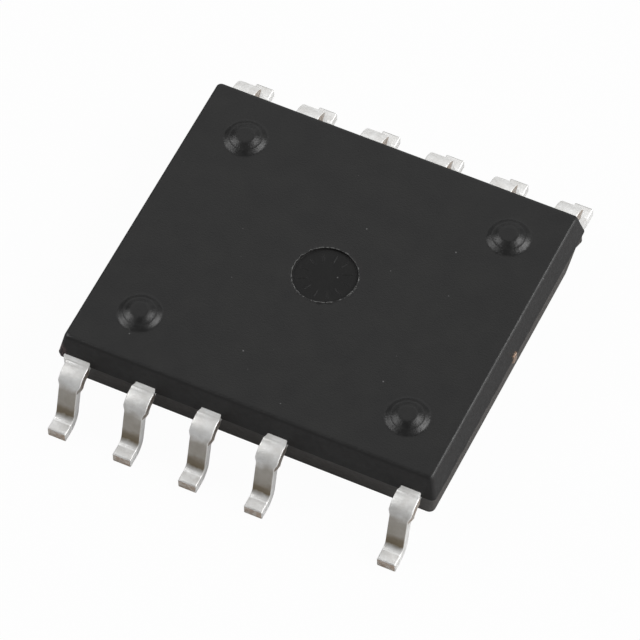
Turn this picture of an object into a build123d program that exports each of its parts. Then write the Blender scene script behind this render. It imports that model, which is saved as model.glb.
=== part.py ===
from build123d import *
from math import cos, radians, sin, tan
import os

os.makedirs("parts", exist_ok=True)

# Power switching regulator in a moulded small-outline package, millimetres.
# X runs along the two lead rows, +Y points at the far row, +Z is up.
# The origin is on the seating plane, under the middle of the body.

# Moulded body. Length and width are taken over the parting line.
body_len = 10.16
body_wid = 8.89
standoff = 0.10
lower_depth = 1.28
upper_depth = 0.70
parting_ledge = 0.05
top_end_inset = 0.14
top_side_inset = 0.17
base_end_inset = 0.20
base_side_inset = 0.39
corner_r = 0.12
base_corner_r = 0.16
top_edge_r = 0.10

# Marks left by the mould on the top face, a little off its middle.
marks_x = 0.05
marks_y = 0.03
boss_gap_x = 7.20
boss_gap_y = 5.86
boss_d = 1.12
boss_top_d = 0.84
boss_h = 0.07
nub_d = 0.74
nub_top_d = 0.46
nub_h = 0.08
mark_d = 1.62
mark_depth = 0.05

# Leads, all stamped from one sheet and bent to a gull wing.
lead_thick = 0.28
pitch = 1.778
positions = 6
absent_position = 5
lead_span = 11.68
foot_len = 0.55
leg_lean = 16
root_w = 0.53
shoulder_w = 0.61
foot_w = 0.49
root_flare = 0.12
shoulder_bend_r = 0.29
foot_bend_r = 0.20
notch_angle = 56
notch_tilt = 22
notch_len = 0.12

# Bond fingers, the part of each near lead that lies inside the moulding.
finger_len = 1.25
finger_w = 1.25
finger_neck = 0.32
finger_r = 0.15
lock_hole_d = 0.40

# Paddle, its mould-locking lip, and what ties it to the far row and to the ends.
pad_len = 7.77
pad_wid = 5.51
lip_w = 0.15
lip_thick = 0.14
bar_w = 0.40
bar_cover = 0.30
strap_w = 1.60
strap_gap = 2.60
strap_count = 3
strap_r = 0.20
strap_foot = 0.20
tie_w = 0.35
tie_y = 0.20
tie_proud = 0.02
tie_flat = 0.25

# Silicon die on its solder layer.
die_len = 3.40
die_wid = 2.40
die_thick = 0.28
die_x = -0.30
die_y = -0.95
attach_thick = 0.03
attach_margin = 0.08

# Bond wires, eight-sided.
wire_d = 0.05
wire_sides = 8
ball_d = 0.11
ball_h = 0.03
loop_rise = 0.26
crown_step = 0.12
bond_inset = 0.20
signal_gap = 0.60
signal_shift = -0.30
drain_count = 2
drain_gap = 0.40
ground_count = 2
ground_gap = 1.20
ground_reach = 0.90


def spread(count, gap):
    """Evenly spaced places in a row, centred on zero."""
    return [(i - (count - 1) / 2) * gap for i in range(count)]


# Heights and places worked out from the sizes above.
parting_z = standoff + lower_depth
top_z = parting_z + upper_depth
lead_top = parting_z + lead_thick / 2
lead_bottom = parting_z - lead_thick / 2
pad_top = standoff + lead_thick
die_top = pad_top + attach_thick + die_thick
wall_y = body_wid / 2
tip_y = lead_span / 2
ankle_y = tip_y - foot_len
knee_y = ankle_y - (parting_z - lead_thick / 2) * tan(radians(leg_lean))
finger_end_y = wall_y - finger_len
hole_y = (finger_end_y + wall_y - finger_neck) / 2
bar_outer_y = wall_y - bar_cover
bar_inner_y = bar_outer_y - bar_w
lead_x = spread(positions, pitch)


def finger_halves(x):
    """How far a bond finger reaches left and right of its lead. End fingers keep off the end walls."""
    left = root_w / 2 if x == lead_x[0] else finger_w / 2
    right = root_w / 2 if x == lead_x[-1] else finger_w / 2
    return left, right


def finger_mid_x(x):
    """Middle of a bond finger, where its hole and its bond lie."""
    left, right = finger_halves(x)
    return x + (right - left) / 2


def plan_side(half, inner_y):
    """One side of a lead's flat outline, from its inner end to its foot, as offsets from its axis."""
    root = root_w / 2
    wide = shoulder_w / 2
    neck_y = wall_y - finger_neck
    points = [(half, inner_y)]
    if half > root:
        points += [(half, neck_y - (half - root)), (root, neck_y)]
    points += [(root, wall_y), (wide, wall_y + root_flare), (wide, tip_y)]
    return points


def gull_lead(x, side, inner_y, left, right):
    """One formed lead: side profile, cut to its plan, then to the narrow lower leg."""
    outer_r = shoulder_bend_r + lead_thick
    half_bend = radians(90 - leg_lean) / 2
    shift = lead_thick / 2 * tan(half_bend)
    with BuildPart() as lead:
        with BuildSketch(Plane.YZ.offset(x)):
            with BuildLine():
                upper = FilletPolyline(
                    (side * inner_y, lead_top), (side * (knee_y + shift), lead_top),
                    (side * (ankle_y + shift), lead_thick), (side * tip_y, lead_thick),
                    radius=[outer_r, foot_bend_r])
                lower = FilletPolyline(
                    (side * inner_y, lead_bottom), (side * (knee_y - shift), lead_bottom),
                    (side * (ankle_y - shift), 0), (side * tip_y, 0),
                    radius=[shoulder_bend_r, foot_bend_r + lead_thick])
                Line(upper @ 0, lower @ 0)
                Line(upper @ 1, lower @ 1)
            make_face()
        extrude(amount=pitch / 2, both=True)

        with BuildSketch(Plane.XY):
            with BuildLine():
                right_side = [(x + dx, side * y) for dx, y in plan_side(right, inner_y)]
                left_side = [(x - dx, side * y) for dx, y in plan_side(left, inner_y)]
                Polyline(*right_side, *reversed(left_side), close=True)
            make_face()
        extrude(amount=lead_top, mode=Mode.INTERSECT)

        # The step down in width lies part way round the bend, tilted down towards the back.
        turn = radians(notch_angle)
        lean = radians(notch_angle - notch_tilt)
        bend_y = knee_y + shift - outer_r * tan(half_bend)
        bend_z = lead_top - outer_r
        notch_plane = Plane(
            origin=(x, side * (bend_y + outer_r * sin(turn)), bend_z + outer_r * cos(turn)),
            x_dir=(side, 0, 0),
            z_dir=(0, side * sin(lean), cos(lean)))
        half = notch_len / 2
        outline = [(pitch, -lead_span), (pitch, -half), (shoulder_w / 2, -half),
                   (foot_w / 2, half), (foot_w / 2, lead_span)]
        with BuildSketch(notch_plane):
            with BuildLine():
                Polyline(*outline, *[(-u, v) for u, v in reversed(outline)], close=True)
            make_face()
        extrude(amount=lead_span, both=True, mode=Mode.INTERSECT)
    return lead.part


# Near row: five separate leads. Each ends inside in a rounded bond finger with a locking hole.
near_leads = {}
for place, x in enumerate(lead_x, start=1):
    if place == absent_position:
        continue
    finger_left, finger_right = finger_halves(x)
    with BuildPart() as near_lead:
        add(gull_lead(x, -1, finger_end_y, finger_left, finger_right))
        fillet(near_lead.edges().filter_by(Axis.Z).group_by(Axis.Y)[-1], radius=finger_r)
        with Locations((finger_mid_x(x), -hole_y, lead_top)):
            Hole(radius=lock_hole_d / 2, depth=lead_thick)
    near_lead.part.label = f"lead_{place}"
    export_step(near_lead.part, f"parts/lead_{place}.step")
    near_leads[place] = near_lead.part

# Source frame: the exposed paddle, bent up through straps to the six fused far leads.
far_leads = [gull_lead(x, 1, bar_inner_y, root_w / 2, root_w / 2) for x in lead_x]
lip_z = pad_top - lip_thick
lip_edge_y = pad_wid / 2 + lip_w
lip_edge_x = pad_len / 2 + lip_w
pad_mid_z = standoff + lead_thick / 2

with BuildPart() as source_frame:
    with BuildSketch(Plane.XY.offset(standoff)):
        Rectangle(pad_len, pad_wid)
    extrude(amount=lead_thick)
    with BuildSketch(Plane.XY.offset(lip_z)):
        Rectangle(pad_len + 2 * lip_w, pad_wid + 2 * lip_w)
    extrude(amount=lip_thick)

    bar_len = lead_x[-1] - lead_x[0] + shoulder_w
    with BuildSketch(Plane.XY.offset(lead_bottom)):
        with Locations((0, (bar_inner_y + bar_outer_y) / 2)):
            Rectangle(bar_len, bar_w)
    extrude(amount=lead_thick)

    for x in spread(strap_count, strap_gap):
        with BuildLine() as strap_path:
            FilletPolyline(
                (x, pad_wid / 2 - strap_foot, pad_mid_z), (x, lip_edge_y, pad_mid_z),
                (x, bar_inner_y - strap_foot / 2, parting_z), (x, bar_outer_y, parting_z),
                radius=strap_r)
        with BuildSketch(Plane(origin=strap_path.line @ 0, x_dir=(1, 0, 0), z_dir=(0, 1, 0))):
            Rectangle(strap_w, lead_thick)
        sweep(path=strap_path.line)

    for end in (-1, 1):
        with BuildLine() as tie_path:
            FilletPolyline(
                (end * (body_len / 2 + tie_proud), tie_y, parting_z),
                (end * (body_len / 2 - tie_flat), tie_y, parting_z),
                (end * lip_edge_x, tie_y, pad_mid_z),
                (end * (lip_edge_x - tie_w), tie_y, pad_mid_z),
                radius=strap_r)
        with BuildSketch(Plane(origin=tie_path.line @ 0, x_dir=(0, 1, 0), z_dir=(-end, 0, 0))):
            Rectangle(tie_w, lead_thick)
        sweep(path=tie_path.line)

    add(far_leads)
source_frame.part.label = "source_frame"
export_step(source_frame.part, "parts/source_frame.step")

# Solder layer and silicon die on the paddle.
with BuildPart() as die_attach:
    with BuildSketch(Plane.XY.offset(pad_top)):
        with Locations((die_x, die_y)):
            Rectangle(die_len + 2 * attach_margin, die_wid + 2 * attach_margin)
    extrude(amount=attach_thick)
die_attach.part.label = "die_attach"
export_step(die_attach.part, "parts/die_attach.step")

with BuildPart() as die:
    with BuildSketch(Plane.XY.offset(pad_top + attach_thick)):
        with Locations((die_x, die_y)):
            Rectangle(die_len, die_wid)
    extrude(amount=die_thick)
die.part.label = "die"
export_step(die.part, "parts/die.step")


def bond_wire(start, end, crown_z, landing):
    """One wire: a ball on the die, straight up, over a short crown and down to its landing."""
    with BuildPart() as wire:
        with BuildSketch(Plane(origin=start, z_dir=(0, 0, 1))):
            RegularPolygon(ball_d / 2, wire_sides)
        extrude(amount=ball_h)
        neck = Vector(start[0], start[1], crown_z - crown_step)
        forward = Vector(end[0] - start[0], end[1] - start[1], 0).normalized()
        crown = neck + (forward + Vector(0, 0, 1)) * crown_step
        with BuildLine() as path:
            Polyline(start, neck, crown, end)
        with BuildSketch(Plane(origin=start, z_dir=(0, 0, 1))):
            RegularPolygon(wire_d / 2, wire_sides)
        sweep(path=path.line, transition=Transition.RIGHT)
        add(landing, mode=Mode.SUBTRACT)
    return wire.part


wires = {}
die_near_y = die_y - die_wid / 2 + bond_inset
die_far_y = die_y + die_wid / 2 - bond_inset
die_right_x = die_x + die_len / 2 - bond_inset
finger_bond_y = -(finger_end_y + bond_inset)

# One signal wire to each near lead but the last, from a row of pads on the near edge of the die.
*signal_places, drain_place = sorted(near_leads)
for place, shift in zip(signal_places, spread(len(signal_places), signal_gap)):
    start = (die_x + signal_shift + shift, die_near_y, die_top)
    end = (finger_mid_x(lead_x[place - 1]), finger_bond_y, lead_top)
    wires[f"wire_lead_{place}"] = bond_wire(start, end, lead_top + loop_rise, near_leads[place])

# Drain wires in parallel to the last lead.
for number, shift in enumerate(spread(drain_count, drain_gap), start=1):
    start = (die_right_x, die_near_y + drain_gap / 2 + shift, die_top)
    end = (finger_mid_x(lead_x[drain_place - 1]) + shift, finger_bond_y, lead_top)
    wires[f"wire_drain_{number}"] = bond_wire(
        start, end, lead_top + loop_rise, near_leads[drain_place])

# Ground wires from the far edge of the die down to the paddle.
for number, shift in enumerate(spread(ground_count, ground_gap), start=1):
    start = (die_x + shift, die_far_y, die_top)
    end = (die_x + shift, die_far_y + ground_reach, pad_top)
    wires[f"wire_ground_{number}"] = bond_wire(
        start, end, die_top + loop_rise, source_frame.part)

for name, wire in wires.items():
    wire.label = name
    export_step(wire, f"parts/{name}.step")

# Moulding: two drafted halves, the marks on its top, and the space of all that it holds.
with BuildPart() as mould_body:
    with BuildSketch(Plane.XY.offset(parting_z)):
        RectangleRounded(body_len, body_wid, corner_r)
    with BuildSketch(Plane.XY.offset(top_z)):
        RectangleRounded(body_len - 2 * top_end_inset, body_wid - 2 * top_side_inset, corner_r)
    loft(ruled=True)
    fillet(mould_body.faces().sort_by(Axis.Z)[-1].edges(), radius=top_edge_r)

    lower_len = body_len - 2 * parting_ledge
    lower_wid = body_wid - 2 * parting_ledge
    with BuildSketch(Plane.XY.offset(standoff)):
        RectangleRounded(
            lower_len - 2 * base_end_inset, lower_wid - 2 * base_side_inset, base_corner_r)
    with BuildSketch(Plane.XY.offset(parting_z)):
        RectangleRounded(lower_len, lower_wid, corner_r)
    loft(ruled=True)

    # Four bosses of two sloping steps on the top face, each let into it by its lower step's height.
    boss_section = [
        (0, -boss_h), (boss_d / 2, -boss_h), (boss_d / 2, 0), (boss_top_d / 2, boss_h),
        (nub_d / 2, boss_h), (nub_top_d / 2, boss_h + nub_h), (0, boss_h + nub_h)]
    for boss_x in (marks_x - boss_gap_x / 2, marks_x + boss_gap_x / 2):
        for boss_y in (marks_y - boss_gap_y / 2, marks_y + boss_gap_y / 2):
            with BuildSketch(Plane((boss_x, boss_y, top_z), x_dir=(1, 0, 0), z_dir=(0, -1, 0))):
                with BuildLine():
                    Polyline(*boss_section, close=True)
                make_face()
            revolve(axis=Axis((boss_x, boss_y, 0), (0, 0, 1)))

    # Shallow round recess in the middle of the top face.
    with BuildSketch(Plane.XY.offset(top_z)):
        with Locations((marks_x, marks_y)):
            Circle(mark_d / 2)
    extrude(amount=-mark_depth, mode=Mode.SUBTRACT)

    add(list(near_leads.values()), mode=Mode.SUBTRACT)
    add(source_frame.part, mode=Mode.SUBTRACT)
    add([die_attach.part, die.part], mode=Mode.SUBTRACT)
    add(list(wires.values()), mode=Mode.SUBTRACT)
mould_body.part.label = "mould_body"
export_step(mould_body.part, "parts/mould_body.step")
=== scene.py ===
import math

import bmesh
import bpy
from mathutils import Matrix, Vector, noise

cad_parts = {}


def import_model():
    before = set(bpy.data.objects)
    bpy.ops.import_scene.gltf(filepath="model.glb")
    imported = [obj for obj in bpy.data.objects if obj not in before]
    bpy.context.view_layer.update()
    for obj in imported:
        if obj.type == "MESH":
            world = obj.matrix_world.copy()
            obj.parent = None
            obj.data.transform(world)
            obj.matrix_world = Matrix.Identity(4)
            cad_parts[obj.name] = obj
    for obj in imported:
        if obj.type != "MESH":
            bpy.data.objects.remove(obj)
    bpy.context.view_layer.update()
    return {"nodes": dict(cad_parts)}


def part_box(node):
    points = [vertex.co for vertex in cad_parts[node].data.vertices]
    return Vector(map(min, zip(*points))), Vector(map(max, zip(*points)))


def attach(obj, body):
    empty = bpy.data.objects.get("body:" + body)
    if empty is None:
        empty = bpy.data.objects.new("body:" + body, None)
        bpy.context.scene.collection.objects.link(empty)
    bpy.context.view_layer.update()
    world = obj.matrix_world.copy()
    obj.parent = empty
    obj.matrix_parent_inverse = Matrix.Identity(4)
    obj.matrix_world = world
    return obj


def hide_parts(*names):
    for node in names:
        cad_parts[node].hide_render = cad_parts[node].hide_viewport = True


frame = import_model()

# Sizes are in millimetres, in the frame of the part. MM scales them to metres.
MM = 0.001
X, Y, Z = 0, 1, 2


def span(node, axis):
    """Lowest and highest value of a node along an axis, in millimetres."""
    low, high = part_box(node)
    return low[axis] / MM, high[axis] / MM


# Moulded body, as in the solids.
BODY_HALF = (span("mould_body", X)[1], span("mould_body", Y)[1])
STANDOFF = span("mould_body", Z)[0]
LOWER_DEPTH = 1.28
UPPER_DEPTH = 0.70
LEDGE = 0.05
TOP_INSET = (0.14, 0.17)
BASE_INSET = (0.20, 0.39)
CORNER_R = 0.12
BASE_CORNER_R = 0.16
TOP_EDGE_R = 0.10
COLLAR = 0.03
PARTING_Z = STANDOFF + LOWER_DEPTH
TOP_Z = PARTING_Z + UPPER_DEPTH
SMALL_ROUND = 0.02
FLASH = 0.016
GATE_CUT = 0.11
GATE_HEIGHTS = (1.22, 1.95)
GATE_FADES = (0.08, 0.25)
VENT_LOW = 1.02
VENT_W = 0.28
VENT_SLOPE = 0.36
VENT_FADES = (0.05, 0.08)
TORN_ROUGH = 0.02
TORN_GRAIN = 14
FLASH_GRAIN = 5

# Where the body's mesh has its rings, as shares of each half's height, and the points on its
# long and short sides.
LOWER_SHARES = (0.25, 0.5, 0.62, 0.66, 0.70, 0.76, 0.82, 0.88, 0.92, 0.96, 1.0)
UPPER_SHARES = (0.1, 0.3, 0.5, 0.7, 0.85)
TOP_EDGE_START = 15
TOP_EDGE_STEPS = 8
SIDE_STEPS = (100, 88)
ROUND_STEPS = 4

# Marks on the top face.
MARKS = (0.05, 0.03)
BOSS_GAP = (7.20, 5.86)
BOSS_POINTS = ((0.62, 0.0), (0.56, 0.0), (0.425, 0.07), (0.40, 0.074), (0.23, 0.15), (0.04, 0.15))
BOSS_ROUNDS = (0.12, 0.06, 0.06, 0.14)
BOSS_SIDES = 72
MARK_DEPTH = 0.05
MARK_FLOOR_R = 0.76
MARK_RIM_R = 0.812
MARK_BEAD_R = 0.828
MARK_POINTS = ((1.00, 0.0), (0.85, 0.0), (MARK_BEAD_R, 0.008), (MARK_RIM_R, 0.0),
               (0.80, -MARK_DEPTH), (MARK_FLOOR_R, -MARK_DEPTH))
MARK_ROUNDS = (0.02, 0.02, 0.01, 0.012)
MARK_SIDES = 240
MARK_FLOOR_RINGS = [0.72 - 0.03 * i for i in range(14)] + [0.2, 0.1]
MARK_STEP = 0.05
MARK_TURN = math.radians(15)
TICK_COUNT = 12
TICK_RING = (0.46, 0.66)
TICK_HALF = 0.022
TICK_H = 0.013
MARK_FLOOR_DROP = 0.04
BURR_H = 0.05
BURR_W = 0.022
BURR_SHOWS = 0.007
BURR_COUNT = 10
BURR_OFTEN = 0.08
BURR_LEAST = 0.35

# Leads.
THICK = 0.28
PITCH = 1.778
PLACES = 6
ABSENT = 5
TIP_Y = 5.84
FOOT_LEN = 0.55
LEG_LEAN = math.radians(16)
ROOT_W = 0.53
SHOULDER_W = 0.61
FOOT_W = 0.49
ROOT_FLARE = 0.12
SHOULDER_R = 0.29
FOOT_R = 0.20
NOTCH_ANGLE = math.radians(56)
NOTCH_TILT = math.radians(22)
NOTCH_LEN = 0.12
STUB_W = (0.055, 0.125)
STUB_END = 0.09
STUB_DROP = 0.005
LEAD_EDGE_R = 0.03
RIDGE_H = 0.014
RIDGE_W = 0.026
GROOVE_SHARE = 0.7
GROOVE_AFTER = 2.2
TIP_ROUND = 0.8
LEAD_STEP = 0.018
LEAD_TURN = math.radians(4)
WALL_Y = BODY_HALF[Y]
LEAD_TOP = PARTING_Z + THICK / 2
LEAD_X = [(i - (PLACES - 1) / 2) * PITCH for i in range(PLACES)]

# Bond fingers of the near leads.
FINGER_END_Y = WALL_Y - 1.25
FINGER_W = 1.25
NECK_Y = WALL_Y - 0.32
FINGER_R = 0.15
HOLE_R = 0.20
OVERLAP = 0.05

# Source frame.
PAD = (7.77, 5.51)
LIP_W = 0.15
LIP_THICK = 0.14
BAR_W = 0.40
STRAP_W = 1.60
STRAP_GAP = 2.60
STRAP_COUNT = 3
STRAP_R = 0.20
STRAP_FOOT = 0.20
STRAP_STEP = 0.2
TIE_W = 0.35
TIE_Y = 0.20
TIE_PROUD = 0.02
TIE_FLAT = 0.25
TIE_END_W = 0.18
TIE_TAPER = 0.05
TIE_STEP = 0.1
PAD_EDGE_R = 0.03
PAD_TOP = STANDOFF + THICK
PAD_MID = STANDOFF + THICK / 2
BAR_OUTER = WALL_Y - 0.30
BAR_INNER = BAR_OUTER - BAR_W

# Faces that look this squarely along an axis count as cut square to it.
SQUARE = 0.9
# Edges that turn more than this stay sharp.
SMOOTH_ANGLE = math.radians(35)


# Shape helpers. They work in millimetres.

def mix(low, high, share):
    share = min(1.0, max(0.0, share))
    return low + (high - low) * share


def turned(vector, angle):
    return Vector((vector.x * math.cos(angle) - vector.y * math.sin(angle),
                   vector.x * math.sin(angle) + vector.y * math.cos(angle)))


def rounded_path(points, radii, gap, step=math.radians(5)):
    """Places and travel directions along a flat polyline whose corners are rounded by arcs."""
    corners = [Vector(p) for p in points]
    track = []

    def straight(start, end, direction):
        count = max(1, math.ceil((end - start).length / gap))
        track.extend((start.lerp(end, i / count), direction) for i in range(count + 1))

    here = corners[0]
    for i, radius in enumerate(radii, start=1):
        before = (corners[i] - corners[i - 1]).normalized()
        after = (corners[i + 1] - corners[i]).normalized()
        turn = math.atan2(before.x * after.y - before.y * after.x, before.dot(after))
        cut = radius * math.tan(abs(turn) / 2)
        start = corners[i] - before * cut
        straight(here, start, before)
        spoke = turned(before, math.copysign(math.pi / 2, turn)) * radius
        centre = start + spoke
        count = math.ceil(abs(turn) / step)
        for k in range(1, count):
            angle = turn * k / count
            track.append((centre - turned(spoke, angle), turned(before, angle)))
        here = corners[i] + after * cut
    straight(here, corners[-1], after)
    return track


def quarter_round(radius):
    """(inset, rise) pairs along a rounded edge, from the face below it to its side."""
    turns = [math.radians(90 * k / ROUND_STEPS) for k in range(ROUND_STEPS + 1)]
    return [(radius * (1 - math.sin(turn)), radius * (1 - math.cos(turn))) for turn in turns]


def section(place, direction, half_at, half_thick, edge_r, shrink, relief):
    """One cross-section of a strip: a rounded rectangle, as (along, across, height)."""
    normal = turned(direction, math.pi / 2)
    corner_steps = 4
    ring = []
    for across, out, start in ((1, 1, 0), (-1, 1, 90), (-1, -1, 180), (1, -1, 270)):
        for k in range(corner_steps + 1):
            angle = math.radians(start + 90 * k / corner_steps)
            rise = out * (half_thick - edge_r) + (edge_r - shrink) * math.sin(angle)
            spot = place + normal * rise
            half = half_at(spot.x, spot.y)
            if out > 0:
                spot = spot + normal * relief(spot.x)
            side = across * (half - edge_r) + (edge_r - shrink) * math.cos(angle)
            ring.append((spot.x, side, spot.y))
    return ring


def skin(bm, rings, closed=True):
    """Quads between rings of equal length, with an end face on the first and the last."""
    loops = [[bm.verts.new(p) for p in ring] for ring in rings]
    for low, high in zip(loops, loops[1:]):
        for i in range(len(low)):
            j = (i + 1) % len(low)
            bm.faces.new((low[i], low[j], high[j], high[i]))
    if closed:
        bm.faces.new(list(reversed(loops[0])))
        bm.faces.new(loops[-1])
    return loops


def flat(along):
    """A strip's face with nothing raised on it."""
    return 0.0


def strip(track, half_at, edge_r, place, relief=flat):
    """A bent strip of sheet with rounded edges and a rounded far end, as a bmesh."""
    bm = bmesh.new()
    tip_r = TIP_ROUND * edge_r
    end_place, end_direction = track[-1]
    track = track[:-1] + [(end_place - end_direction * tip_r, end_direction)]
    rings = [section(p, d, half_at, THICK / 2, edge_r, 0.0, relief) for p, d in track]
    for k in range(1, ROUND_STEPS + 1):
        angle = math.radians(90 * k / ROUND_STEPS)
        ahead = track[-1][0] + end_direction * (tip_r * math.sin(angle))
        shrink = tip_r * (1 - math.cos(angle))
        rings.append(section(ahead, end_direction, half_at, THICK / 2, edge_r, shrink, relief))
    skin(bm, [[place(*p) for p in ring] for ring in rings])
    bmesh.ops.recalc_face_normals(bm, faces=bm.faces)
    return bm


def plate(outline, low, high, hole=None):
    """A flat plate from a plan outline, with an optional round hole, as a bmesh."""
    bm = bmesh.new()
    edges = []
    loops = [outline]
    if hole:
        (cx, cy), radius = hole
        turns = [math.radians(a) for a in range(0, 360, 10)]
        loops.append([(cx + radius * math.cos(a), cy + radius * math.sin(a)) for a in turns])
    for loop in loops:
        verts = [bm.verts.new((x, y, low)) for x, y in loop]
        edges += [bm.edges.new((verts[i], verts[(i + 1) % len(verts)])) for i in range(len(verts))]
    bmesh.ops.triangle_fill(bm, use_beauty=True, edges=edges)
    made = bmesh.ops.extrude_face_region(bm, geom=list(bm.faces))
    top = [v for v in made["geom"] if isinstance(v, bmesh.types.BMVert)]
    bmesh.ops.translate(bm, vec=(0, 0, high - low), verts=top)
    bmesh.ops.recalc_face_normals(bm, faces=bm.faces)
    return bm


def rectangle(half_x, half_y):
    return [(half_x, half_y), (-half_x, half_y), (-half_x, -half_y), (half_x, -half_y)]


def block(half_x, half_y, low, high, round_low=0.0):
    """A plate with a rectangular plan, its lower edges rounded where it shows."""
    rings = []
    for inset, rise in quarter_round(round_low):
        rings.append([(x, y, low + rise) for x, y in rectangle(half_x - inset, half_y - inset)])
    rings.append([(x, y, high) for x, y in rectangle(half_x, half_y)])
    if not round_low:
        rings = [rings[0], rings[-1]]
    bm = bmesh.new()
    skin(bm, rings)
    bmesh.ops.recalc_face_normals(bm, faces=bm.faces)
    return bm


def as_object(name, bm):
    """A bmesh in millimetres becomes a mesh object in metres."""
    bmesh.ops.scale(bm, vec=(MM, MM, MM), verts=bm.verts)
    mesh = bpy.data.meshes.new(name)
    bm.to_mesh(mesh)
    bm.free()
    obj = bpy.data.objects.new(name, mesh)
    bpy.context.scene.collection.objects.link(obj)
    return obj


def combine(target, tools, operation):
    """Joins tools to a mesh, or cuts them from it, and keeps the result as its mesh."""
    for tool in tools:
        modifier = target.modifiers.new("combine", "BOOLEAN")
        modifier.operation = operation
        modifier.solver = "MANIFOLD"
        modifier.object = tool
        depsgraph = bpy.context.evaluated_depsgraph_get()
        mesh = bpy.data.meshes.new_from_object(target.evaluated_get(depsgraph))
        target.modifiers.clear()
        old = target.data
        target.data = mesh
        bpy.data.meshes.remove(old)
    return target


def discard(objects):
    for obj in objects:
        mesh = obj.data
        bpy.data.objects.remove(obj)
        bpy.data.meshes.remove(mesh)


def welded(node):
    """A closed copy of a solid's mesh, with the seams between its faces joined."""
    bm = bmesh.new()
    bm.from_mesh(frame["nodes"][node].data)
    bmesh.ops.scale(bm, vec=(1 / MM, 1 / MM, 1 / MM), verts=bm.verts)
    bmesh.ops.remove_doubles(bm, verts=bm.verts, dist=1e-5)
    return as_object(node + "_copy", bm)


def finish_piece(obj, name, replaced, materials):
    """Shading, material slots and the place of a new piece on the part."""
    obj.name = name
    mesh = obj.data
    mesh.name = name
    mesh.materials.clear()
    for material in materials:
        mesh.materials.append(material)
    mesh.polygons.foreach_set("use_smooth", [True] * len(mesh.polygons))
    mesh.set_sharp_from_angle(angle=SMOOTH_ANGLE)
    weighted = obj.modifiers.new("weighted", "WEIGHTED_NORMAL")
    weighted.keep_sharp = True
    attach(obj, "root")
    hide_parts(*replaced)
    return obj


# Materials. Texture sizes are in millimetres.

def material_base(name):
    material = bpy.data.materials.new(name)
    material.use_nodes = True
    tree = material.node_tree
    shader = tree.nodes["Principled BSDF"]
    coordinates = tree.nodes.new("ShaderNodeTexCoord")
    scale = tree.nodes.new("ShaderNodeMapping")
    scale.inputs["Scale"].default_value = (1 / MM, 1 / MM, 1 / MM)
    tree.links.new(coordinates.outputs["Object"], scale.inputs["Vector"])
    return material, tree, shader, scale.outputs["Vector"]


def noise_node(tree, vector, scale, detail=3.0, rough=0.5):
    node = tree.nodes.new("ShaderNodeTexNoise")
    node.inputs["Scale"].default_value = scale
    node.inputs["Detail"].default_value = detail
    node.inputs["Roughness"].default_value = rough
    tree.links.new(vector, node.inputs["Vector"])
    return node.outputs["Fac"]


def ramp(tree, factor, stops):
    node = tree.nodes.new("ShaderNodeValToRGB")
    elements = node.color_ramp.elements
    while len(elements) < len(stops):
        elements.new(0.5)
    for element, (place, value) in zip(elements, stops):
        element.position = place
        if isinstance(value, (int, float)):
            value = (value, value, value)
        element.color = (*value, 1.0)
    tree.links.new(factor, node.inputs["Fac"])
    return node.outputs["Color"]


def math_node(tree, operation, *values):
    node = tree.nodes.new("ShaderNodeMath")
    node.operation = operation
    for socket, value in zip(node.inputs, values):
        if isinstance(value, (int, float)):
            socket.default_value = value
        else:
            tree.links.new(value, socket)
    return node.outputs["Value"]


def blend_node(tree, factor, low, high):
    node = tree.nodes.new("ShaderNodeMix")
    node.data_type = "RGBA"
    tree.links.new(factor, node.inputs["Factor"])
    for name, value in (("A", low), ("B", high)):
        socket = [s for s in node.inputs if s.name == name and s.type == "RGBA"][0]
        if isinstance(value, tuple):
            socket.default_value = (*value, 1.0)
        else:
            tree.links.new(value, socket)
    return [s for s in node.outputs if s.type == "RGBA"][0]


def bump(tree, shader, height, distance, strength=1.0):
    node = tree.nodes.new("ShaderNodeBump")
    node.inputs["Strength"].default_value = strength
    node.inputs["Distance"].default_value = distance * MM
    tree.links.new(height, node.inputs["Height"])
    tree.links.new(node.outputs["Normal"], shader.inputs["Normal"])


def mask_node(tree, vector, centre, radius):
    """1 within a soft ball round a place on the part, 0 beyond it."""
    gap = tree.nodes.new("ShaderNodeVectorMath")
    gap.operation = "DISTANCE"
    gap.inputs[1].default_value = centre
    tree.links.new(vector, gap.inputs[0])
    share = math_node(tree, "DIVIDE", gap.outputs["Value"], radius)
    return ramp(tree, share, ((0.5, 1.0), (1.0, 0.0)))


def part_of(tree, vector, axis):
    """One coordinate of a vector."""
    split = tree.nodes.new("ShaderNodeSeparateXYZ")
    tree.links.new(vector, split.inputs["Vector"])
    return split.outputs[axis]


def facing_node(tree, axis):
    """How squarely a face looks along an axis of the part, 0 to 1."""
    coordinates = tree.nodes.new("ShaderNodeTexCoord")
    return math_node(tree, "ABSOLUTE", part_of(tree, coordinates.outputs["Normal"], axis))


def scaled(tone, level):
    return tuple(level * c for c in tone)


def speck_mask(tree, vector):
    """1 on small round specks, one in a part of the cells of a loose pattern, of varied size."""
    cells = tree.nodes.new("ShaderNodeTexVoronoi")
    cells.inputs["Scale"].default_value = SPECKS_PER_MM
    tree.links.new(vector, cells.inputs["Vector"])
    chosen = tree.nodes.new("ShaderNodeSeparateColor")
    tree.links.new(cells.outputs["Color"], chosen.inputs["Color"])
    over = math_node(tree, "SUBTRACT", chosen.outputs["Red"], SPECK_SHARE)
    size = math_node(tree, "MULTIPLY", over, SPECK_SIZE)
    return math_node(tree, "LESS_THAN", cells.outputs["Distance"], size)


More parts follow.
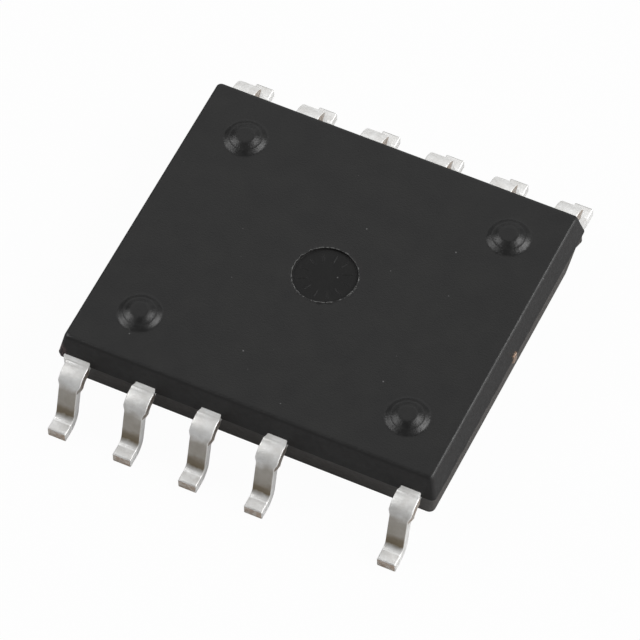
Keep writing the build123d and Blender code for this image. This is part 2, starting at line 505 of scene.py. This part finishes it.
def mould_material(name, tone, level, rough):
    """Black moulding compound: matt and clouded, with fine pale specks. Its walls are rougher,
    dark above the parting line and painted lighter and browner below it, a painted reflection of
    the bright floor, and the break at the gate is crumbly."""
    material, tree, shader, vector = material_base(name)
    shader.inputs["Specular IOR Level"].default_value = level
    dark, light = (scaled(share, tone) for share in MOTTLE)
    skin_tone = ramp(tree, noise_node(tree, vector, 1.6, 5.0), ((0.3, dark), (0.7, light)))
    crumbs = ramp(tree, noise_node(tree, vector, 16.0, 3.0), CRUMBS)
    wall = ramp(tree, facing_node(tree, "Z"), WALL_FACING)
    # Painted reflection: walls below the parting line take a lighter, browner tone that stands in
    # for the bright floor they reflect.
    under = math_node(tree, "LESS_THAN", part_of(tree, vector, "Z"), PARTING_Z)
    wall_tone_with_painted_reflection = blend_node(tree, under, WALL_TONE, UNDER_WALL_PAINTED_REFLECTION)
    gate = mask_node(tree, vector, GATE_AT, GATE_SPREAD)
    colour = blend_node(tree, wall, skin_tone, wall_tone_with_painted_reflection)
    colour = blend_node(tree, gate, colour, crumbs)
    colour = blend_node(tree, speck_mask(tree, vector), colour, SPECK_TONE)
    tree.links.new(colour, shader.inputs["Base Color"])
    gloss = noise_node(tree, vector, 7.0, 3.0)
    gloss = ramp(tree, gloss, ((0.3, rough - ROUGH_VARIES), (0.7, rough + ROUGH_VARIES)))
    coarse = math_node(tree, "ADD", gloss, math_node(tree, "MULTIPLY", wall, WALL_ROUGHER))
    tree.links.new(coarse, shader.inputs["Roughness"])
    grain = noise_node(tree, vector, 22.0, 4.0, 0.6)
    bump(tree, shader, grain, 0.006)
    return material


def tin_material():
    """Matt tin plate: fine grain and clouds, less metallic by the wall, a painted highlight across
    the crease at the start of each foot, and painted shade in a tarnished brown on the faces of
    the legs and heels that look along Y, standing in for the shaded floor and foot they reflect."""
    material, tree, shader, vector = material_base("tin_plate")
    tin_tone_and_highlight = ramp(tree, noise_node(tree, vector, 3.5, 5.0, 0.6), TIN_CLOUDS)
    outward = ramp(tree, facing_node(tree, "Y"), LEG_FACING)
    along = math_node(tree, "ABSOLUTE", part_of(tree, vector, "Y"))
    # Painted highlight: a near-white band across each foot at the crease, where the bend catches
    # the light.
    off_crease = math_node(tree, "ABSOLUTE", math_node(tree, "SUBTRACT", along, CREASE_Y))
    tin_tone_and_highlight = blend_node(tree, ramp(tree, off_crease, CREASE_HIGHLIGHT_FADE), tin_tone_and_highlight, CREASE_PAINTED_HIGHLIGHT)
    from_wall = math_node(tree, "SUBTRACT", along, WALL_Y)
    tree.links.new(ramp(tree, from_wall, METALLIC_RISE), shader.inputs["Metallic"])
    # Painted shade: faces looking along Y, from the heel up the leg, are darkened to a tarnished
    # brown that stands in for the shaded floor and foot they reflect.
    wander = math_node(tree, "SUBTRACT", noise_node(tree, vector, 4.0, 3.0), 0.5)
    wander = math_node(tree, "MULTIPLY", wander, SHADE_EDGE_WANDERS)
    height = math_node(tree, "ADD", part_of(tree, vector, "Z"), wander)
    painted_shade = ramp(tree, math_node(tree, "DIVIDE", height, PARTING_Z), LEG_PAINTED_SHADE)
    colour = blend_node(tree, math_node(tree, "MULTIPLY", outward, painted_shade), tin_tone_and_highlight, PAINTED_SHADE_BROWN)
    tree.links.new(colour, shader.inputs["Base Color"])
    rough = ramp(tree, noise_node(tree, vector, 9.0, 3.0), TIN_ROUGHNESS)
    tree.links.new(rough, shader.inputs["Roughness"])
    grain = noise_node(tree, vector, 26.0, 4.0, 0.6)
    bump(tree, shader, grain, 0.004)
    return material


def cut_material(name, bare, smeared):
    """Sheared edge: bare, slightly browned copper with tin smeared over parts of it."""
    material, tree, shader, vector = material_base(name)
    shader.inputs["Metallic"].default_value = 1.0
    smear = ramp(tree, noise_node(tree, vector, 8.0, 4.0, 0.65), ((0.45, 0.0), (0.60, 1.0)))
    colour = blend_node(tree, smear, bare, smeared)
    tree.links.new(colour, shader.inputs["Base Color"])
    shader.inputs["Roughness"].default_value = 0.42
    grain = noise_node(tree, vector, 30.0, 4.0, 0.6)
    bump(tree, shader, grain, 0.006)
    return material


def plain_material(name, base, metallic, roughness, grain_scale):
    """Finish of a sealed inner piece."""
    material, tree, shader, vector = material_base(name)
    shader.inputs["Metallic"].default_value = metallic
    shader.inputs["Roughness"].default_value = roughness
    tone = noise_node(tree, vector, grain_scale, 4.0)
    colour = ramp(tree, tone, ((0.35, scaled(base, 0.85)), (0.65, base)))
    tree.links.new(colour, shader.inputs["Base Color"])
    bump(tree, shader, tone, 0.002)
    return material


# Moulding compound: tones, and how squarely a face looks up or down before it counts as a wall.
MOTTLE = ((0.8, 0.8, 0.82), (1.2, 1.2, 1.16))
CRUMBS = ((0.45, (0.016, 0.010, 0.011)), (0.60, (0.12, 0.08, 0.08)))
WALL_FACING = ((0.80, 1.0), (0.90, 0.0))
WALL_TONE = (0.008, 0.0075, 0.0075)
# Painted reflection: walls below the parting line are painted about five times lighter and browner
# than those above, standing in for the bright floor they reflect.
UNDER_WALL_PAINTED_REFLECTION = (0.038, 0.033, 0.029)
WALL_ROUGHER = 0.25
ROUGH_VARIES = 0.05
GATE_AT = (-BODY_HALF[X], -BODY_HALF[Y], PARTING_Z + 0.15)
GATE_SPREAD = 0.35
SPECKS_PER_MM = 2.6
SPECK_SHARE = 0.55
SPECK_SIZE = 0.14
SPECK_TONE = (0.10, 0.10, 0.10)

# Tin plate. Metallic rises with the distance from the wall.
TIN_CLOUDS = ((0.35, (0.74, 0.73, 0.71)), (0.65, (0.90, 0.90, 0.89)))
TIN_ROUGHNESS = ((0.3, 0.36), (0.7, 0.52))
METALLIC_RISE = ((0.08, 0.05), (0.12, 0.5))
LEG_FACING = ((0.45, 0.0), (0.85, 1.0))
# Painted highlight across each foot at the crease where the bend meets the flat foot.
CREASE_Y = 5.52
CREASE_HIGHLIGHT_FADE = ((0.014, 1.0), (0.030, 0.0))
CREASE_PAINTED_HIGHLIGHT = (0.98, 0.98, 0.97)
# Painted shade in a tarnished brown, for the faces of the legs and heels.
PAINTED_SHADE_BROWN = (0.21, 0.17, 0.115)
SHADE_EDGE_WANDERS = 0.25
# How much painted shade, in a tarnished brown, a leg's face gets at shares of the parting height.
LEG_PAINTED_SHADE = ((0.20, 0.0), (0.30, 1.0), (0.40, 0.95), (0.52, 0.66), (0.80, 0.62), (0.94, 0.0))

MOULD = mould_material("mould_compound", 0.0070, 0.47, 0.34)
MARK_FLOOR = mould_material("mould_compound_fine", 0.006, 0.26, 0.48)
# Pale tone on the burrs: partly pale torn compound, partly a painted highlight for the glints they
# catch.
MARK_BURR_AND_GLINT = mould_material("mould_compound_torn_and_glint", 0.10, 0.4, 0.45)
TIN = tin_material()
CUT = cut_material("cut_edge", (0.50, 0.41, 0.34), (0.66, 0.62, 0.57))
TIE_CUT = cut_material("bare_cut_edge", (0.36, 0.25, 0.19), (0.52, 0.42, 0.34))
SILICON = plain_material("silicon", (0.16, 0.17, 0.20), 0.0, 0.15, 6.0)
SOLDER = plain_material("solder", (0.55, 0.55, 0.56), 1.0, 0.45, 8.0)
WIRE = plain_material("bond_wire", (0.80, 0.47, 0.32), 1.0, 0.30, 20.0)


# Leads.

# Corners of the middle line of a lead, before its bends are rounded.
ANKLE = Vector((TIP_Y - FOOT_LEN, THICK / 2))
KNEE = Vector((ANKLE.x - (PARTING_Z - ANKLE.y) * math.tan(LEG_LEAN), PARTING_Z))
HALF_BEND = (math.pi / 2 - LEG_LEAN) / 2
OUTER_R = SHOULDER_R + THICK
BEND_MID = Vector((KNEE.x - (SHOULDER_R + THICK / 2) * math.tan(HALF_BEND), LEAD_TOP - OUTER_R))
STEP = BEND_MID + OUTER_R * Vector((math.sin(NOTCH_ANGLE), math.cos(NOTCH_ANGLE)))
NOTCH_LEAN = NOTCH_ANGLE - NOTCH_TILT


def lead_half(along, height):
    """Half the width of a lead at a place along it, with its flare and its step."""
    half = mix(ROOT_W / 2, SHOULDER_W / 2, (along - WALL_Y) / ROOT_FLARE)
    past = (along - STEP.x) * math.cos(NOTCH_LEAN) - (height - STEP.y) * math.sin(NOTCH_LEAN)
    return min(half, mix(SHOULDER_W / 2, FOOT_W / 2, past / NOTCH_LEN + 0.5))


def root_ridge(along):
    """The faint bead and groove that the dam-bar punch leaves across the top of a lead."""
    past = (along - WALL_Y - ROOT_FLARE) / RIDGE_W
    return RIDGE_H * (math.exp(-past ** 2) - GROOVE_SHARE * math.exp(-(past - GROOVE_AFTER) ** 2))


def lead_strip(name, x, side, inner_y):
    """A formed lead from a place inside the body out to its tip, on one side of the part."""
    track = rounded_path(
        ((inner_y, PARTING_Z), KNEE, ANKLE, (TIP_Y, THICK / 2)),
        (SHOULDER_R + THICK / 2, FOOT_R + THICK / 2), LEAD_STEP, LEAD_TURN)

    def place(along, across, height):
        return x + across * side, along * side, height

    return as_object(name, strip(track, lead_half, LEAD_EDGE_R, place, root_ridge))


def finger_outline(left, right):
    """Plan of a bond finger, wide with rounded corners, narrowing to the lead's root."""
    root = ROOT_W / 2
    inner = -FINGER_END_Y
    neck = -NECK_Y
    points = []
    for half, sign in ((right, 1), (left, -1)):
        centre = (sign * (half - FINGER_R), inner - FINGER_R)
        arc = []
        for k in range(7):
            angle = math.radians(90 - 90 * k / 6)
            arc.append((centre[0] + sign * FINGER_R * math.cos(angle),
                        centre[1] + FINGER_R * math.sin(angle)))
        side = arc + [(sign * half, neck + (half - root))] if half > root else arc
        side = side + [(sign * root, neck), (sign * root, neck - OVERLAP)]
        points += side if sign > 0 else list(reversed(side))
    return points


def dam_stub(x):
    """What the trimmed dam bar leaves on the outer side of the first lead, against the wall."""
    edge = x - SHOULDER_W / 2
    inner = x - ROOT_W / 4
    end = -(WALL_Y + ROOT_FLARE)
    outline = [(inner, end), (inner, -WALL_Y + OVERLAP), (edge - STUB_W[1], -WALL_Y + OVERLAP),
               (edge - STUB_W[1], -WALL_Y - 0.02), (edge - STUB_W[0], end),
               (edge + 0.01, end - STUB_END), (inner, end - STUB_END)]
    return as_object("stub", plate(outline, LEAD_TOP - THICK + LEAD_EDGE_R, LEAD_TOP - STUB_DROP))


def near_lead(place_number, x):
    """A near lead with its bond finger. The outermost fingers are narrow on their outer side."""
    half = FINGER_W / 2
    left = ROOT_W / 2 if place_number == 1 else half
    right = ROOT_W / 2 if place_number == PLACES else half
    outline = [(x + u, v) for u, v in finger_outline(left, right)]
    hole_y = -(FINGER_END_Y + NECK_Y) / 2
    hole = ((x + (right - left) / 2, hole_y), HOLE_R)
    additions = [as_object("finger", plate(outline, LEAD_TOP - THICK, LEAD_TOP, hole))]
    lead = lead_strip("lead", x, -1, NECK_Y)
    if place_number == 1:
        additions.append(dam_stub(x))
    combine(lead, additions, "UNION")
    discard(additions)
    return lead


# Source frame.

def tie_half(along, height):
    """Half the width of a tie bar, which narrows to its sheared end."""
    return mix(TIE_W, TIE_END_W, (along - BODY_HALF[X]) / TIE_TAPER + 2) / 2


def source_frame():
    """Paddle with its lip, straps, bar and tie bars, and the six far leads, as one stamping."""
    base = as_object("paddle", block(PAD[0] / 2, PAD[1] / 2, STANDOFF, PAD_TOP, PAD_EDGE_R))
    lip_x = PAD[0] / 2 + LIP_W
    lip_y = PAD[1] / 2 + LIP_W
    parts = [as_object("lip", block(lip_x, lip_y, PAD_TOP - LIP_THICK, PAD_TOP))]
    bar = plate([(x, y + (BAR_INNER + BAR_OUTER) / 2) for x, y in
                 rectangle(LEAD_X[-1] + SHOULDER_W / 2, BAR_W / 2)], LEAD_TOP - THICK, LEAD_TOP)
    parts.append(as_object("bar", bar))
    for i in range(STRAP_COUNT):
        strap_x = (i - (STRAP_COUNT - 1) / 2) * STRAP_GAP
        track = rounded_path(
            ((PAD[1] / 2 - STRAP_FOOT, PAD_MID), (lip_y, PAD_MID),
             (BAR_INNER - STRAP_FOOT / 2, PARTING_Z), (BAR_OUTER - OVERLAP, PARTING_Z)),
            (STRAP_R, STRAP_R), STRAP_STEP)
        parts.append(as_object("strap", strip(
            track, lambda a, h: STRAP_W / 2, LEAD_EDGE_R,
            lambda a, b, h, x=strap_x: (x + b, a, h))))
    for end in (-1, 1):
        outer = BODY_HALF[X] + TIE_PROUD
        track = rounded_path(
            ((lip_x - TIE_W, PAD_MID), (lip_x, PAD_MID),
             (BODY_HALF[X] - TIE_FLAT, PARTING_Z), (outer, PARTING_Z)),
            (STRAP_R, STRAP_R), TIE_STEP)
        parts.append(as_object("tie", strip(
            track, tie_half, LEAD_EDGE_R / 2,
            lambda a, b, h, s=end: (a * s, TIE_Y + b, h))))
    for x in LEAD_X:
        parts.append(lead_strip("far_lead", x, 1, BAR_OUTER - OVERLAP))
    combine(base, parts, "UNION")
    discard(parts)
    return base


def mark_recess(obj):
    """Gives the floor of the centre mark a finer finish, and the burrs round it a pale tone that
    partly paints in the glints they catch.
    """
    for face in obj.data.polygons:
        spot = face.center / MM - Vector((*MARKS, TOP_Z))
        radius = spot.xy.length
        inside = abs(spot.z + MARK_DEPTH) < MARK_FLOOR_DROP and radius < MARK_RIM_R
        # Burr faces get the pale tone, which is partly a painted highlight.
        torn = BURR_SHOWS < spot.z < BURR_H and abs(radius - MARK_BEAD_R) < 2 * BURR_W
        face.material_index = 1 if inside else 2 if torn else 0


def mark_cuts(obj):
    """Gives sheared faces their finish: smeared on lead tips and dam-bar stub, bare on tie bars."""
    edge = 0.002
    for face in obj.data.polygons:
        x, y, z = face.center / MM
        nx, ny = face.normal.xy
        tip = abs(y) > TIP_Y - LEAD_EDGE_R and abs(ny) > SQUARE
        tie = abs(x) > BODY_HALF[X] - 2 * LEDGE
        outside = abs(y) > WALL_Y + ROOT_FLARE / 2
        wide = lead_half(abs(y), z) > FOOT_W / 2 + edge
        stub = outside and wide and abs(nx) > SQUARE
        face.material_index = 2 if tie else 1 if tip or stub else 0


# Moulded body.

def rim(half_x, half_y, radius):
    """A rounded rectangle as evenly matched points, the same number whatever its size."""
    corner_steps = 8
    counts = SIDE_STEPS * 2
    corners = ((1, 1, 0), (-1, 1, 90), (-1, -1, 180), (1, -1, 270))
    points = []
    for i, (sx, sy, start) in enumerate(corners):
        centre = Vector((sx * (half_x - radius), sy * (half_y - radius)))
        for k in range(corner_steps + 1):
            angle = math.radians(start + 90 * k / corner_steps)
            points.append(centre + radius * Vector((math.cos(angle), math.sin(angle))))
        ahead = corners[(i + 1) % 4]
        away = Vector((ahead[0] * (half_x - radius), ahead[1] * (half_y - radius)))
        angle = math.radians(start + 90)
        away += radius * Vector((math.cos(angle), math.sin(angle)))
        last = points[-1].copy()
        points += [last.lerp(away, j / counts[i]) for j in range(1, counts[i])]
    return points


def top_inset(axis, rise):
    """How far the upper wall stands in at a rise over the parting line, top edge included."""
    slope = math.atan(TOP_INSET[axis] / UPPER_DEPTH)
    centre_rise = UPPER_DEPTH - TOP_EDGE_R
    centre = centre_rise * math.tan(slope) + TOP_EDGE_R / math.cos(slope)
    if rise < centre_rise + TOP_EDGE_R * math.sin(slope):
        return rise * math.tan(slope)
    return centre - math.sqrt(max(0.0, TOP_EDGE_R ** 2 - (rise - centre_rise) ** 2))


def body_rings():
    """(height, inset along X, inset along Y, corner radius, flash) from the base to the top."""
    base = [LEDGE + inset for inset in BASE_INSET]
    rings = [(STANDOFF, *(inset + SMALL_ROUND + COLLAR for inset in base), BASE_CORNER_R, 0.0)]
    for inset, rise in quarter_round(SMALL_ROUND):
        rings.append((STANDOFF + rise, base[0] + inset, base[1] + inset, BASE_CORNER_R, 0.0))
    for share in LOWER_SHARES:
        rise = mix(SMALL_ROUND, LOWER_DEPTH, share)
        left = 1 - rise / LOWER_DEPTH
        rings.append((STANDOFF + rise, LEDGE + left * BASE_INSET[0], LEDGE + left * BASE_INSET[1],
                      mix(CORNER_R, BASE_CORNER_R, left), 0.0))
    for inset, rise in quarter_round(SMALL_ROUND):
        rings.append((PARTING_Z + rise, inset, inset, CORNER_R, 1.0))
    for share in UPPER_SHARES:
        rise = UPPER_DEPTH * share
        rings.append((PARTING_Z + rise, top_inset(X, rise), top_inset(Y, rise), CORNER_R, 0.0))
    for k in range(TOP_EDGE_STEPS + 1):
        angle = math.radians(TOP_EDGE_START + (90 - TOP_EDGE_START) * k / TOP_EDGE_STEPS)
        rise = UPPER_DEPTH - TOP_EDGE_R * (1 - math.sin(angle))
        rings.append((PARTING_Z + rise, top_inset(X, rise), top_inset(Y, rise), CORNER_R, 0.0))
    insets = (top_inset(axis, UPPER_DEPTH) + COLLAR for axis in (X, Y))
    rings.append((TOP_Z, *insets, CORNER_R, 0.0))
    return rings


def turned_mark(bm, centre, points, rounds, count, height_at, floor_rings=()):
    """A round mark on the top face, from its outer rim inwards. Returns the rim's vertices."""
    track = [place for place, direction in rounded_path(points, rounds, MARK_STEP, MARK_TURN)]
    track += [Vector((radius, points[-1][1])) for radius in floor_rings]
    rings = []
    for radius, rise in track:
        ring = []
        for i in range(count):
            angle = 2 * math.pi * i / count
            ring.append((centre[0] + radius * math.cos(angle), centre[1] + radius * math.sin(angle),
                         TOP_Z + rise + height_at(radius, angle)))
        rings.append(ring)
    loops = skin(bm, rings, closed=False)
    bm.faces.new(loops[-1])
    return loops[0]


def level(radius, angle):
    """A round mark with nothing raised on it."""
    return 0.0


def mark_relief(radius, angle):
    """Burrs round the rim of the centre mark and plain dial ticks on its floor."""
    if radius > MARK_FLOOR_R:
        spot = Vector((math.cos(angle), math.sin(angle), 0.0))
        torn = max(0.0, noise.noise(spot * BURR_COUNT) + BURR_OFTEN)
        burr = BURR_H * torn * mix(BURR_LEAST, 1.0, abs(spot.x))
        return burr * math.exp(-((radius - MARK_BEAD_R) / BURR_W) ** 2)
    step = 2 * math.pi / TICK_COUNT
    off = (angle + step / 2) % step - step / 2
    aside = abs(radius * off) / TICK_HALF
    beyond = max(TICK_RING[0] - radius, radius - TICK_RING[1], 0.0) / TICK_HALF
    return TICK_H * max(0.0, 1 - aside ** 4) * max(0.0, 1 - beyond)


def torn_face(point, z):
    """How far a torn face stands out at a place."""
    return TORN_ROUGH * noise.noise(Vector((point.x, point.y, z)) * TORN_GRAIN)


def gate_break(point, z):
    """The rough facet where the runner broke off the near left corner."""
    low, high = GATE_HEIGHTS
    fade_low, fade_high = GATE_FADES
    depth = GATE_CUT * mix(0.0, 1.0, (z - low) / fade_low) * mix(0.0, 1.0, (high - z) / fade_high)
    beyond = (-point.x - point.y) - (BODY_HALF[X] + BODY_HALF[Y] - depth)
    if depth <= 0 or beyond <= 0:
        return point
    return point + Vector((1, 1)) * (beyond / 2 + torn_face(point, z))


def vent_nub(point, z):
    """The torn end of the air vent, under the parting line at the far right corner."""
    away = max(BODY_HALF[X] - point.x, BODY_HALF[Y] - point.y)
    fade_up, fade_out = VENT_FADES
    window = mix(0.0, 1.0, (z - VENT_LOW) / fade_up) * mix(1.0, 0.0, (away - VENT_W) / fade_out)
    reach = VENT_SLOPE * max(0.0, PARTING_Z - z) * window
    rough = torn_face(point, z) if reach else 0.0
    return point + Vector((1, 1)) * (reach * math.sqrt(0.5) + rough)


def mould_body(cutters):
    """The moulded body with its marks, cut round everything that is cast into it."""
    bm = bmesh.new()
    rings = []
    for z, inset_x, inset_y, radius, flash in body_rings():
        ring = []
        for point in rim(BODY_HALF[X] - inset_x, BODY_HALF[Y] - inset_y, radius):
            if flash:
                spot = Vector((point.x, point.y, 0.0)) * FLASH_GRAIN
                point = point * (1 + flash * FLASH * max(0.0, noise.noise(spot)) / point.length)
            point = vent_nub(gate_break(point, z), z)
            ring.append((point.x, point.y, z))
        rings.append(ring)
    loops = skin(bm, rings, closed=False)
    bm.faces.new(loops[0])
    rims = [loops[-1]]
    for sx in (-0.5, 0.5):
        for sy in (-0.5, 0.5):
            centre = (MARKS[X] + sx * BOSS_GAP[X], MARKS[Y] + sy * BOSS_GAP[Y])
            rims.append(turned_mark(bm, centre, BOSS_POINTS, BOSS_ROUNDS, BOSS_SIDES, level))
    rims.append(turned_mark(bm, MARKS, MARK_POINTS, MARK_ROUNDS, MARK_SIDES, mark_relief,
                            MARK_FLOOR_RINGS))
    edges = []
    for loop in rims:
        for i in range(len(loop)):
            pair = (loop[i], loop[(i + 1) % len(loop)])
            edges.append(bm.edges.get(pair) or bm.edges.new(pair))
    bmesh.ops.triangle_fill(bm, use_beauty=True, edges=edges)
    bmesh.ops.recalc_face_normals(bm, faces=bm.faces)
    body = as_object("body", bm)
    return combine(body, cutters, "DIFFERENCE")


# Build the pieces.

LEAD_NODES = {}
for number, lead_x in enumerate(LEAD_X, start=1):
    if number != ABSENT:
        LEAD_NODES[f"lead_{number}"] = near_lead(number, lead_x)
frame_object = source_frame()

INNER = {"die_attach": SOLDER, "die": SILICON}
INNER.update({name: WIRE for name in frame["nodes"] if name.startswith("wire_")})
copies = [welded(name) for name in INNER]
body_object = mould_body([*LEAD_NODES.values(), frame_object, *copies])
discard(copies)

finish_piece(body_object, "body_skin", ["mould_body"],
             [MOULD, MARK_FLOOR, MARK_BURR_AND_GLINT])
mark_recess(body_object)
for name, obj in LEAD_NODES.items():
    finish_piece(obj, name + "_formed", [name], [TIN, CUT])
    mark_cuts(obj)
finish_piece(frame_object, "source_frame_formed", ["source_frame"],
             [TIN, CUT, TIE_CUT])
mark_cuts(frame_object)
for name, material in INNER.items():
    mesh = frame["nodes"][name].data
    mesh.materials.clear()
    mesh.materials.append(material)


# Stage, lamps and camera, in metres.

FLOOR_HALF = 0.3
FLOOR_DROP = 0.000002
FLOOR_TONE = 0.50
# How much of the floor's own white each kind of ray sees.
FLOOR_WHITE = (("Is Camera Ray", 0.97), ("Is Glossy Ray", 0.12), ("Is Transmission Ray", 0.12))
LAMP_FAR = 0.30


def mix_shader(tree, share, low, high):
    node = tree.nodes.new("ShaderNodeMixShader")
    for socket, link in zip(node.inputs, (share, low, high)):
        tree.links.new(link, socket)
    return node.outputs[0]


def floor():
    """A pale sheet under the part, seen from above only."""
    half = FLOOR_HALF
    mesh = bpy.data.meshes.new("floor")
    mesh.from_pydata([(-half, -half, 0), (half, -half, 0), (half, half, 0), (-half, half, 0)],
                     [], [(0, 1, 2, 3)])
    obj = bpy.data.objects.new("floor", mesh)
    obj.location = (0, 0, -FLOOR_DROP)
    bpy.context.scene.collection.objects.link(obj)
    material = bpy.data.materials.new("floor")
    material.use_nodes = True
    tree = material.node_tree
    tree.nodes.clear()
    out = tree.nodes.new("ShaderNodeOutputMaterial")
    diffuse = tree.nodes.new("ShaderNodeBsdfDiffuse")
    diffuse.inputs["Color"].default_value = (FLOOR_TONE, FLOOR_TONE, FLOOR_TONE, 1)
    glow = tree.nodes.new("ShaderNodeEmission")
    glow.inputs["Strength"].default_value = 1.0
    rays = tree.nodes.new("ShaderNodeLightPath")
    share = 0.0
    for ray, white in FLOOR_WHITE:
        share = math_node(tree, "ADD", share, math_node(tree, "MULTIPLY", rays.outputs[ray], white))
    shown = mix_shader(tree, share, diffuse.outputs[0], glow.outputs[0])
    geometry = tree.nodes.new("ShaderNodeNewGeometry")
    clear = tree.nodes.new("ShaderNodeBsdfTransparent")
    sided = mix_shader(tree, geometry.outputs["Backfacing"], shown, clear.outputs[0])
    tree.links.new(sided, out.inputs["Surface"])
    mesh.materials.append(material)


def world(strength):
    """An even soft light from all round, on a background that is white to the camera."""
    background = bpy.data.worlds.new("studio")
    background.use_nodes = True
    tree = background.node_tree
    tree.nodes.clear()
    out = tree.nodes.new("ShaderNodeOutputWorld")
    soft = tree.nodes.new("ShaderNodeBackground")
    white = tree.nodes.new("ShaderNodeBackground")
    for node in (soft, white):
        node.inputs["Color"].default_value = (1, 1, 1, 1)
    soft.inputs["Strength"].default_value = strength
    rays = tree.nodes.new("ShaderNodeLightPath")
    shown = mix_shader(tree, rays.outputs["Is Camera Ray"], soft.outputs[0], white.outputs[0])
    tree.links.new(shown, out.inputs["Surface"])
    bpy.context.scene.world = background


def lamp(name, azimuth, elevation, size, energy):
    """A square soft light round the part, aimed at it. Azimuth 0 is +X, 90 is +Y."""
    light = bpy.data.lights.new(name, "AREA")
    light.size = size
    light.energy = energy
    obj = bpy.data.objects.new(name, light)
    a = math.radians(azimuth)
    e = math.radians(elevation)
    out = Vector((math.cos(a) * math.cos(e), math.sin(a) * math.cos(e), math.sin(e)))
    obj.location = out * LAMP_FAR
    obj.rotation_mode = "QUATERNION"
    obj.rotation_quaternion = out.to_track_quat("Z", "Y")
    bpy.context.scene.collection.objects.link(obj)


CAMERA_AT = Vector((35.211, -69.857, 112.178)) * MM
CAMERA_AZIMUTH = math.radians(26.8209)
CAMERA_ELEVATION = math.radians(55.0687)
CAMERA_ROLL = math.radians(-1.4776)
FOCAL_PIXELS = 5519.806
IMAGE_WIDTH = 640
SENSOR = 36.0


def camera():
    """The place, turn and lens that the photograph was taken with."""
    data = bpy.data.cameras.new("camera")
    data.sensor_width = SENSOR
    data.lens = FOCAL_PIXELS * SENSOR / IMAGE_WIDTH
    data.clip_start = 0.001
    data.clip_end = 5.0
    obj = bpy.data.objects.new("camera", data)
    a, e = CAMERA_AZIMUTH, CAMERA_ELEVATION
    back = Vector((math.sin(a) * math.cos(e), -math.cos(a) * math.cos(e), math.sin(e)))
    right = Vector((math.cos(a), math.sin(a), 0))
    up = back.cross(right)
    c, s = math.cos(CAMERA_ROLL), math.sin(CAMERA_ROLL)
    right, up = right * c + up * s, up * c - right * s
    turn = Matrix((right, up, back)).transposed().to_4x4()
    obj.matrix_world = Matrix.Translation(CAMERA_AT) @ turn
    bpy.context.scene.collection.objects.link(obj)
    bpy.context.scene.camera = obj


floor()
world(0.15)
lamp("right", 31, 42, 0.18, 0.58)
lamp("left", 190, 45, 0.16, 0.34)
lamp("back", 114, 40, 0.30, 0.16)
lamp("side", 2, 27, 0.28, 0.60)
camera()
bpy.context.scene.view_settings.view_transform = "Standard"
